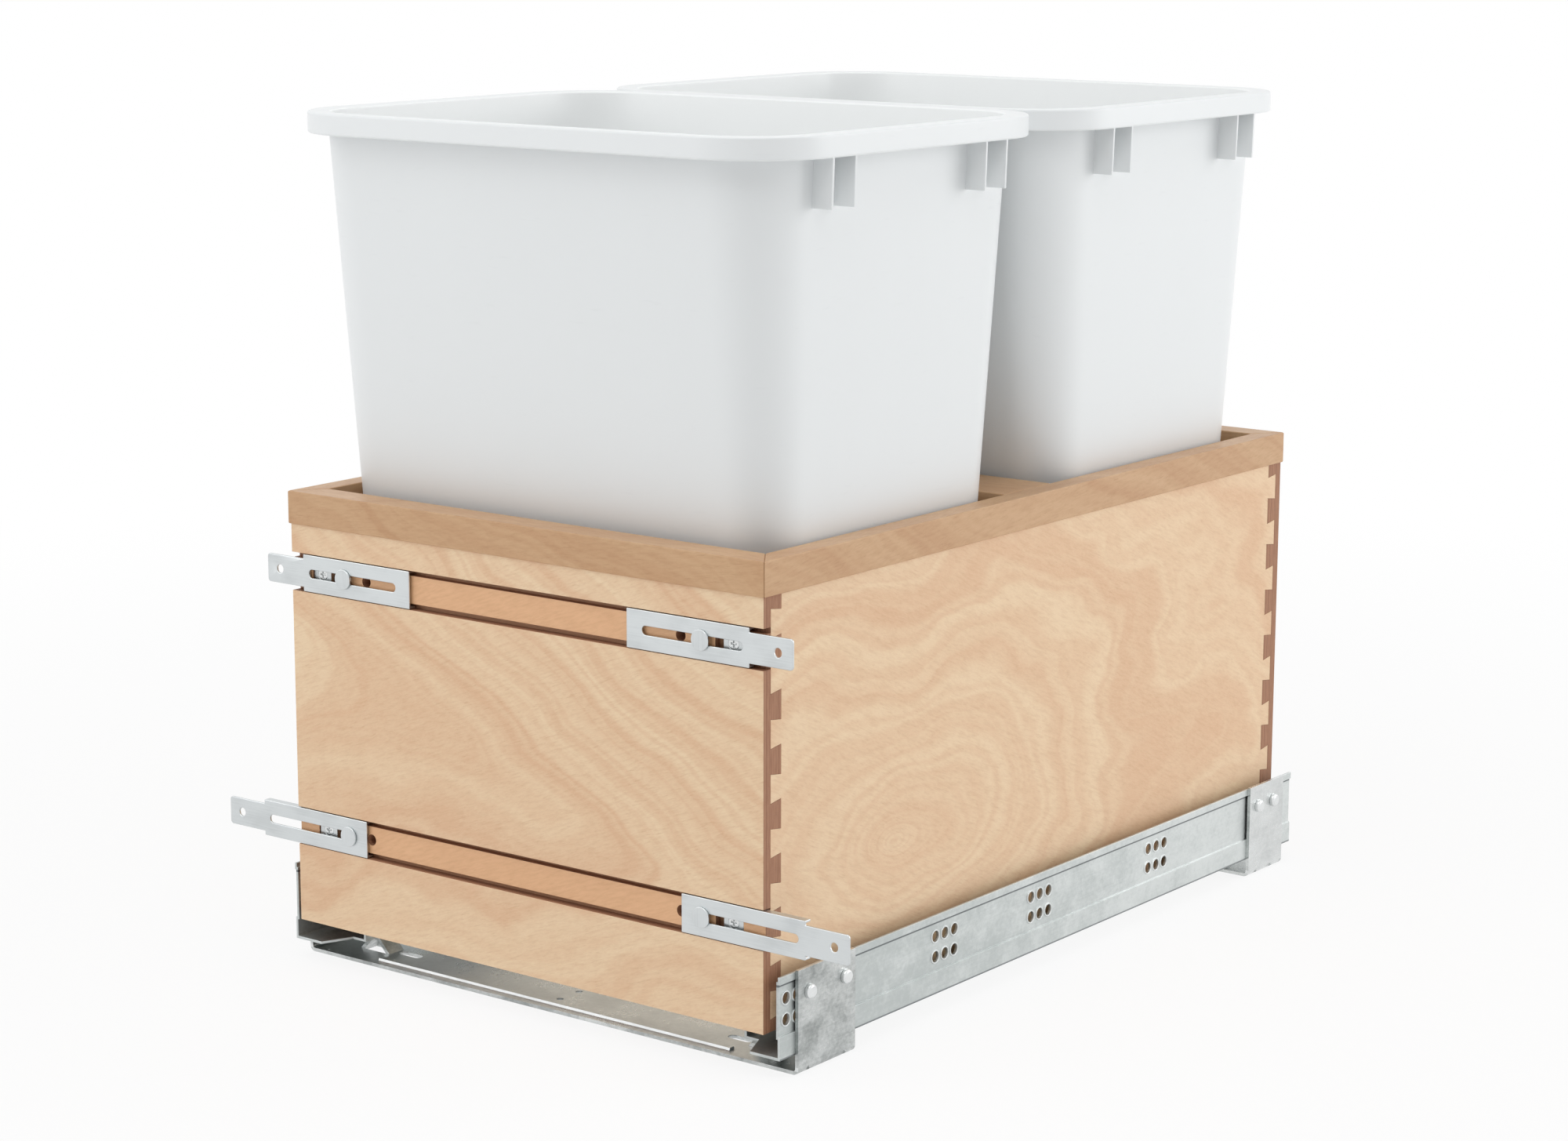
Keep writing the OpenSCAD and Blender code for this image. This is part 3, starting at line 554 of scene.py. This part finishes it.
def moulded_plastic(name, colour, inside_light):
    """White plastic with a faint moulded texture and light marks, and painted light that whitens
    its inside.
    """
    coat = Coat(name, IOR=1.49, Specular_IOR_Level=0.5)
    x, y, z = coat.place()
    skin = coat.noise(x * 1500.0, y * 1500.0, z * 1500.0)
    flow = coat.noise(x * 14.0, y * 14.0, z * 5.0, detail=3.0)
    scuff = coat.step(coat.noise(x * 60.0, y * 60.0, z * 420.0), 0.66, 0.8)
    inside = coat.node("ShaderNodeAttribute", {"attribute_name": "inside"}, None, "Fac")
    greyer = [c * 0.95 for c in colour]
    outer = coat.mix(flow * 0.5 + scuff * 0.35, colour, greyer)
    coat.feed(
        # Painted light: the inside faces take a whiter colour in place of the light that would
        # reach into the bin
        Base_Color=coat.mix(inside * (1.0 - flow * 0.1), outer, inside_light),
        Roughness=0.27 + skin * 0.07 + flow * 0.06 + scuff * 0.12,
    )
    coat.relief(skin * 0.6 + flow * 0.4, 0.02 * MM, 0.4)
    return coat.material


# Pieces


def dress(node, material, edge=0.0, steps=2):
    """Gives a CAD node its finish, and eases its edges."""
    piece = NODES[node]
    piece.data.materials.clear()
    piece.data.materials.append(material)
    if edge:
        joined = piece.modifiers.new("Joined", "WELD")
        joined.merge_threshold = WELD_GAP
        flats = piece.modifiers.new("Flats", "DECIMATE")
        flats.decimate_type = "DISSOLVE"
        flats.angle_limit = math.radians(FLAT_ANGLE)
        eased = piece.modifiers.new("Eased edges", "BEVEL")
        eased.width = edge
        eased.segments = steps
        eased.limit_method = "ANGLE"
        eased.angle_limit = math.radians(SHARP_ANGLE)
        eased.use_clamp_overlap = False
        eased.loop_slide = False
        eased.harden_normals = True


def round_ring(bm, half_x, half_y, corner, middle, z, steps):
    """A level ring of edges: a rectangle with round corners."""
    verts = bmesh.ops.create_grid(bm, x_segments=1, y_segments=1, size=1.0)["verts"]
    bmesh.ops.scale(bm, vec=(half_x, half_y, 1.0), verts=verts)
    bmesh.ops.translate(bm, vec=(middle[0], middle[1], z), verts=verts)
    bmesh.ops.bevel(
        bm, geom=verts, offset=corner, offset_type="OFFSET", affect="VERTICES",
        segments=steps, profile=0.5, material=-1,
    )
    face = bm.faces[:][-1]
    edges = list(face.edges)
    bmesh.ops.delete(bm, geom=[face], context="FACES_ONLY")
    return edges


def arc(start, end, steps):
    """Angles from start to end in degrees, as sine and cosine."""
    turns = [math.radians(start + (end - start) * k / steps) for k in range(steps + 1)]
    return [(math.sin(t), math.cos(t)) for t in turns]


# Hollow foot of a bin: inset from the wall and rise above the ground, in millimetres, from the
# middle outwards. No two neighbouring rings of a bin lie in one plane.
FOOT_RINGS = ((13.0, 0.82), (11.0, 0.8), (10.4, 0.6), (9.8, 0.2), (9.0, 0.04), (5.0, 0.02))
OUTER_SHARES = (0.25, 0.5, 0.75, 0.985)
INNER_SHARES = (0.8, 0.6, 0.4, 0.2)


def bin_rings(sizes, low, high):
    """The rings of a bin, from the foot over the rim to the inner floor.

    Each is its half widths, corner radius and height. The second result counts the outer rings.
    """
    foot, top = low.z, high.z
    rim_x = (high.x - low.x) / 2
    rim_y = (high.y - low.y) / 2
    top_x, top_y = rim_x - sizes.rim_reach_x, rim_y - sizes.rim_reach_y

    def wall(z, inset):
        share = (z - foot) / (top - foot)
        corner = sizes.foot_corner + (sizes.top_corner - sizes.foot_corner) * share
        half_x = top_x - sizes.taper_x * (top - z)
        half_y = top_y - sizes.taper_y * (top - z)
        return half_x - inset, half_y - inset, corner - inset, z

    def rim(inset, z):
        return rim_x - inset, rim_y - inset, sizes.rim_corner - inset, z

    def at_height(ring, z):
        return *ring[:3], z

    rings = [at_height(wall(foot, inset * MM), foot + rise * MM) for inset, rise in FOOT_RINGS]
    for sine, cosine in arc(0, 90, 5):
        rings.append(wall(foot + sizes.foot_round * (1 - cosine), sizes.foot_round * (1 - sine)))
    # Outer wall, with a small fillet under the flange
    under = top - sizes.flange
    fillet = 1.0 * MM
    rings += [wall(foot + (under - foot) * share, 0.0) for share in OUTER_SHARES]
    rings += [wall(under - fillet, 0.0), wall(under, -fillet)]
    # Turned-down rim; rings close to its rounded edges keep its flats flat
    skirt_foot = top - sizes.skirt
    edge_round = sizes.skirt_wall / 2
    close = 0.3 * MM
    rings.append(rim(sizes.skirt_wall + 0.8 * MM, under - 0.1 * MM))
    rings.append(rim(sizes.skirt_wall, under - 0.9 * MM))
    for sine, cosine in arc(90, -90, 6):
        rings.append(rim(edge_round * (1 + sine), skirt_foot + edge_round * (1 - cosine)))
    rings.append(rim(0.0, skirt_foot + edge_round + close))
    rings.append(rim(0.0, top - sizes.lip_round - close))
    for sine, cosine in arc(0, 90, 6):
        rings.append(rim(sizes.lip_round * (1 - cosine), top - sizes.lip_round * (1 - sine)))
    rings.append(rim(sizes.lip_round + 0.4 * MM, top - 0.02 * MM))
    outside = len(rings)
    # Mouth, inner wall and inner floor
    mouth, mouth_top = sizes.mouth_round, top - 0.1 * MM
    for sine, cosine in arc(0, 90, 5):
        rings.append(wall(mouth_top - mouth * (1 - cosine), sizes.wall - mouth * (1 - sine)))
    inner_foot = foot + sizes.wall + 0.4 * MM
    bend = sizes.foot_round * 1.4
    rings += [wall(inner_foot + (top - inner_foot) * share, sizes.wall) for share in INNER_SHARES]
    for sine, cosine in arc(90, 0, 5):
        rings.append(wall(inner_foot + bend * (1 - cosine), sizes.wall + bend * (1 - sine)))
    floor_edge = wall(inner_foot, sizes.wall + bend + 3.0 * MM)
    rings.append(at_height(floor_edge, inner_foot - 0.05 * MM))
    return rings, outside


def add_fin(bm, sizes, low, high, side, y):
    """One thin stacking fin under the rim, let into the wall and the flange."""
    into_rim, into_wall, edge_round = 0.6 * MM, 1.0 * MM, 0.3 * MM
    top = high.z - sizes.flange + into_rim
    foot = high.z - sizes.skirt - sizes.fin_drop
    rim_x = (high.x - low.x) / 2
    verts = bmesh.ops.create_cube(bm, size=1.0)["verts"]
    for vert in verts:
        upper, outside = vert.co.z > 0, vert.co.x > 0
        z = top if upper else foot
        inner_x = rim_x - sizes.rim_reach_x - sizes.taper_x * (high.z - z) - into_wall
        outer_x = rim_x - into_rim - (0.0 if upper else sizes.fin_draft)
        x = outer_x if outside else inner_x
        vert.co = (side * x, y + vert.co.y * sizes.fin_wall, z)
    edges = list({edge for vert in verts for edge in vert.link_edges})
    bmesh.ops.bevel(
        bm, geom=edges, offset=edge_round, offset_type="OFFSET", affect="EDGES",
        segments=2, profile=0.5, material=-1,
    )


def shade_by_angle(mesh, degrees):
    """Smooth faces with sharp edges where they turn by more than an angle."""
    mesh.polygons.foreach_set("use_smooth", [True] * len(mesh.polygons))
    mesh.set_sharp_from_angle(angle=math.radians(degrees))


def make_bin(node, body, sizes, material):
    """A tapered bin: one closed shell lofted through rounded rings, and its fins."""
    low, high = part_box(node)
    middle = (low + high) / 2
    bm = bmesh.new()
    inside = bm.faces.layers.float.new("inside")
    shapes, outside = bin_rings(sizes, low, high)
    rings = [
        round_ring(bm, half_x, half_y, corner, middle, z, sizes.corner_steps)
        for half_x, half_y, corner, z in shapes
    ]
    bmesh.ops.edgeloop_fill(bm, edges=rings[0])
    for index, (lower, upper) in enumerate(zip(rings, rings[1:])):
        for face in bmesh.ops.bridge_loops(bm, edges=lower + upper)["faces"]:
            face[inside] = float(index >= outside)
    for face in bmesh.ops.edgeloop_fill(bm, edges=rings[-1])["faces"]:
        face[inside] = 1.0
    for side in (-1, 1):
        for off in (-sizes.fin_far, -sizes.fin_near, sizes.fin_near, sizes.fin_far):
            add_fin(bm, sizes, low, high, side, middle.y + off)
    bmesh.ops.recalc_face_normals(bm, faces=bm.faces)
    mesh = bpy.data.meshes.new(node + "_shell")
    bm.to_mesh(mesh)
    bm.free()
    shade_by_angle(mesh, SMOOTH_ANGLE)
    piece = bpy.data.objects.new(node + "_shell", mesh)
    bpy.context.scene.collection.objects.link(piece)
    mesh.materials.append(material)
    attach(piece, body)
    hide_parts(node)


# Operators


class BINFRAME_OT_box(bpy.types.Operator):
    """Finish the dovetailed plywood box"""

    bl_idname = "bin_frame.box"
    bl_label = "Dress the box"

    def execute(self, context):
        settings = context.scene.bin_frame
        tones, edge = settings.tones, settings.edges.panel
        stain = (tones.panel_pale, tones.panel_band, tones.panel_deep)
        front = panel_wood(
            "front_panel_wood", tones, stain, face_axis=1, along_axis=0,
            figure=chevron_figure, seed=2.3, lean=0.35, grooved=True)
        dress("front_panel", front, settings.edges.front)
        back = panel_wood(
            "back_panel_wood", tones, stain, face_axis=1, along_axis=0,
            figure=lambda coat, u, v: chevron_figure(coat, u * -1.0, v), seed=8.1, lean=-0.3)
        dress("back_panel", back, edge)
        for side, seed, eye in zip(SIDES, (5.2, 13.7), (0.09, -0.155)):
            node = side + "_side_panel"
            wood = panel_wood(
                node + "_wood", tones, stain, face_axis=0, along_axis=1,
                figure=lambda coat, u, v, eye=eye: eye_figure(coat, u, v, eye, 0.105),
                seed=seed, lean=-0.4)
            dress(node, wood, edge)
        stain = (tones.board_pale, tones.board_band, tones.board_deep)
        floor = panel_wood(
            "floor_panel_wood", tones, stain, face_axis=2, along_axis=1,
            figure=lambda coat, u, v: (v + u * 0.1, 1.0), seed=21.0, lean=0.05)
        dress("floor_panel", floor, edge)
        return {"FINISHED"}


class BINFRAME_OT_rim(bpy.types.Operator):
    """Finish the boards of the top rim"""

    bl_idname = "bin_frame.rim"
    bl_label = "Dress the rim"

    def execute(self, context):
        settings = context.scene.bin_frame
        boards = (
            ("rim_front", 0, 3.0), ("rim_back", 0, 11.0), ("rim_divider", 0, 17.0),
            ("rim_left", 1, 23.0), ("rim_right", 1, 31.0),
        )
        for node, along_axis, seed in boards:
            wood = rim_wood(node + "_wood", settings.tones, along_axis, seed)
            dress(node, wood, settings.edges.rim)
        return {"FINISHED"}


class BINFRAME_OT_brackets(bpy.types.Operator):
    """Finish the door brackets and what holds them"""

    bl_idname = "bin_frame.brackets"
    bl_label = "Dress the door brackets"

    def execute(self, context):
        settings = context.scene.bin_frame
        tones, edges = settings.tones, settings.edges
        sheet = plated("bracket_plate", tones.plated, brushed_axis=0, roughness=0.3)
        for level in LEVELS:
            for side in SIDES:
                dress(f"{level}_{side}_bracket", sheet, edges.plated, steps=3)
        dress("bracket_back_plates", sheet, edges.sheet)
        rivet = plated("bracket_bright", tones.plated, brushed_axis=2, roughness=0.24)
        dress("bracket_guide_rivets", rivet, edges.head, steps=3)
        screw = plated("screw_bright", tones.bright, brushed_axis=2, roughness=0.22)
        dress("bracket_screws", screw, edges.head)
        return {"FINISHED"}


class BINFRAME_OT_frame(bpy.types.Operator):
    """Finish the cabinet rails, cross straps and their rivets"""

    bl_idname = "bin_frame.frame"
    bl_label = "Dress the frame"

    def execute(self, context):
        settings = context.scene.bin_frame
        tones, edges = settings.tones, settings.edges
        rail = rail_zinc("rail_galvanised", tones, edges)
        strap = strap_zinc("strap_galvanised", tones, edges.strap_sheet)
        for side in SIDES:
            dress(side + "_cabinet_rail", rail, edges.sheet)
        for node in ("front_strap", "rear_strap"):
            dress(node, strap, edges.strap)
        rivet = plated("rivet_bright", tones.bright, brushed_axis=0, roughness=0.24)
        dress("frame_rivets", rivet, edges.head, steps=3)
        return {"FINISHED"}


class BINFRAME_OT_slides(bpy.types.Operator):
    """Finish the running members of the slides"""

    bl_idname = "bin_frame.slides"
    bl_label = "Dress the slides"

    def execute(self, context):
        settings = context.scene.bin_frame
        tones, edges = settings.tones, settings.edges
        steel = plated("slide_plate", tones.slide, brushed_axis=1, roughness=0.34)
        bright = plated("ball_bright", tones.bright, brushed_axis=1, roughness=0.12)
        black = nylon("cage_nylon", tones.nylon)
        for side in SIDES:
            dress(side + "_drawer_rail", steel, edges.sheet)
            dress(side + "_intermediate_rail", steel)
            for level in LEVELS:
                dress(f"{side}_{level}_cage", black, edges.sheet)
                dress(f"{side}_{level}_balls", bright)
        dress("slide_screws", bright, edges.head)
        return {"FINISHED"}


class BINFRAME_OT_bins(bpy.types.Operator):
    """Mould the two bins"""

    bl_idname = "bin_frame.bins"
    bl_label = "Make the bins"

    def execute(self, context):
        settings = context.scene.bin_frame
        plastic = moulded_plastic("bin_plastic", settings.tones.plastic, settings.tones.inside_light)
        for node in ("front_bin", "rear_bin"):
            make_bin(node, node, settings.bins, plastic)
        return {"FINISHED"}


def seen_ray(finish):
    """1 for rays that show a surface directly, in a mirror or through glass."""
    outputs = finish.node("ShaderNodeLightPath").socket.node.outputs
    camera = Wire(finish, outputs["Is Camera Ray"])
    glossy = Wire(finish, outputs["Is Glossy Ray"])
    through = Wire(finish, outputs["Is Transmission Ray"])
    return camera.math("MAXIMUM", camera.math("MAXIMUM", camera, glossy), through)


def light_panel(name, power, size, place, aim):
    """A soft square lamp that looks at a point."""
    lamp = bpy.data.lights.new(name, "AREA")
    lamp.energy, lamp.shape, lamp.size = power, "SQUARE", size
    holder = bpy.data.objects.new(name, lamp)
    bpy.context.scene.collection.objects.link(holder)
    holder.location = place
    holder.rotation_euler = (Vector(aim) - Vector(place)).to_track_quat("-Z", "Y").to_euler()


class BINFRAME_OT_stage(bpy.types.Operator):
    """Set the floor, the light and the camera"""

    bl_idname = "bin_frame.stage"
    bl_label = "Set the stage"

    def execute(self, context):
        scene = context.scene
        stage = scene.bin_frame.stage
        self.set_world(scene, stage)
        self.set_floor(scene, stage)
        light_panel("top_panel", stage.top, 2.0, (0.3, -0.9, 2.4), (0.0, 0.0, 0.2))
        light_panel("side_panel", stage.side, 1.4, (1.7, 1.4, 0.9), (0.0, 0.1, 0.2))
        light_panel("left_panel", stage.front, 1.4, (-1.5, -1.6, 1.1), (0.0, -0.1, 0.25))
        self.set_camera(scene, stage)
        scene.view_settings.view_transform = "Standard"
        return {"FINISHED"}

    def set_world(self, scene, stage):
        world = bpy.data.worlds.new("studio")
        world.use_nodes = True
        scene.world = world
        sky = Finish(world.node_tree)
        back = world.node_tree.nodes["Background"]
        sky.plug(back.inputs["Color"], WHITE)
        # The background's normal points back along the ray, so it is up where the sky is below
        x, y, below = sky.split(sky.node("ShaderNodeTexCoord", None, None, "Normal"))
        behind = y * math.cos(stage.azimuth) - x * math.sin(stage.azimuth)
        above = stage.sky * (1.0 - sky.step(behind, 0.6, 0.95) * stage.card)
        level = above + sky.step(below, 0.0, 0.01) * (stage.table - above)
        seen = seen_ray(sky)
        sky.plug(back.inputs["Strength"], seen + (1.0 - seen) * level)

    def set_floor(self, scene, stage):
        bm = bmesh.new()
        bmesh.ops.create_grid(bm, x_segments=1, y_segments=1, size=FLOOR_REACH)
        bmesh.ops.translate(bm, vec=(0.0, 0.0, -FLOOR_DROP), verts=bm.verts)
        mesh = bpy.data.meshes.new("studio_floor")
        bm.to_mesh(mesh)
        bm.free()
        floor = bpy.data.objects.new("studio_floor", mesh)
        scene.collection.objects.link(floor)
        colour = scene.bin_frame.tones.floor
        coat = Coat("floor_opal", Base_Color=colour, Roughness=0.9, Specular_IOR_Level=0.1)
        # Seen directly the floor glows white, but for a share near the object that shows its shadow
        x, y, _ = coat.place()
        far = coat.step((x * x + y * y) ** 0.5, 0.5, 1.5)
        lit = seen_ray(coat) * (1.0 - stage.shadow * (1.0 - far))
        glow = coat.node("ShaderNodeEmission", None, {"Color": WHITE, "Strength": 1.0})
        surface = Wire(coat, coat.shader.outputs["BSDF"])
        through = coat.node("ShaderNodeBsdfTranslucent", None, {"Color": (0.97, 0.97, 0.97)})
        opal = coat.node("ShaderNodeMixShader", None, {0: 0.7, 1: surface, 2: through})
        shown = coat.node("ShaderNodeMixShader", None, {0: lit, 1: opal, 2: glow})
        coat.plug(coat.tree.nodes["Material Output"].inputs["Surface"], shown)
        mesh.materials.append(coat.material)

    def set_camera(self, scene, stage):
        turn, rise, roll = stage.azimuth, stage.elevation, stage.roll
        away = Vector((math.sin(turn), -math.cos(turn), 0.0))
        back = away * math.cos(rise) + Vector((0.0, 0.0, math.sin(rise)))
        right = Vector((math.cos(turn), math.sin(turn), 0.0))
        up = back.cross(right)
        across = right * math.cos(roll) + up * math.sin(roll)
        upward = up * math.cos(roll) - right * math.sin(roll)
        camera = bpy.data.objects.new("camera", bpy.data.cameras.new("camera"))
        scene.collection.objects.link(camera)
        camera.data.lens = stage.lens
        camera.data.sensor_width = SENSOR_WIDTH
        turned = Matrix((across, upward, back)).transposed().to_4x4()
        camera.matrix_world = Matrix.Translation(stage.place) @ turned
        scene.camera = camera


OPERATORS = (
    BINFRAME_OT_box, BINFRAME_OT_rim, BINFRAME_OT_brackets, BINFRAME_OT_frame,
    BINFRAME_OT_slides, BINFRAME_OT_bins, BINFRAME_OT_stage,
)


class BINFRAME_PT_panel(bpy.types.Panel):
    """Lists the steps and the settings"""

    bl_label = "Bin frame"
    bl_idname = "BINFRAME_PT_panel"
    bl_space_type = "VIEW_3D"
    bl_region_type = "UI"
    bl_category = "Bin frame"

    def draw(self, context):
        settings = context.scene.bin_frame
        for operator in OPERATORS:
            self.layout.operator(operator.bl_idname)
        for group in (settings.bins, settings.edges, settings.tones, settings.stage):
            box = self.layout.box()
            for name in group.__annotations__:
                box.prop(group, name)


CLASSES = (
    BinSizes, EdgeSizes, FinishTones, StageSettings, BinFrameSettings,
    *OPERATORS, BINFRAME_PT_panel,
)


def register():
    for item in CLASSES:
        bpy.utils.register_class(item)
    bpy.types.Scene.bin_frame = PointerProperty(type=BinFrameSettings)


def unregister():
    del bpy.types.Scene.bin_frame
    for item in reversed(CLASSES):
        bpy.utils.unregister_class(item)


def main():
    register()
    bpy.ops.bin_frame.box()
    bpy.ops.bin_frame.rim()
    bpy.ops.bin_frame.brackets()
    bpy.ops.bin_frame.frame()
    bpy.ops.bin_frame.slides()
    bpy.ops.bin_frame.bins()
    bpy.ops.bin_frame.stage()


if __name__ == "__main__":
    main()
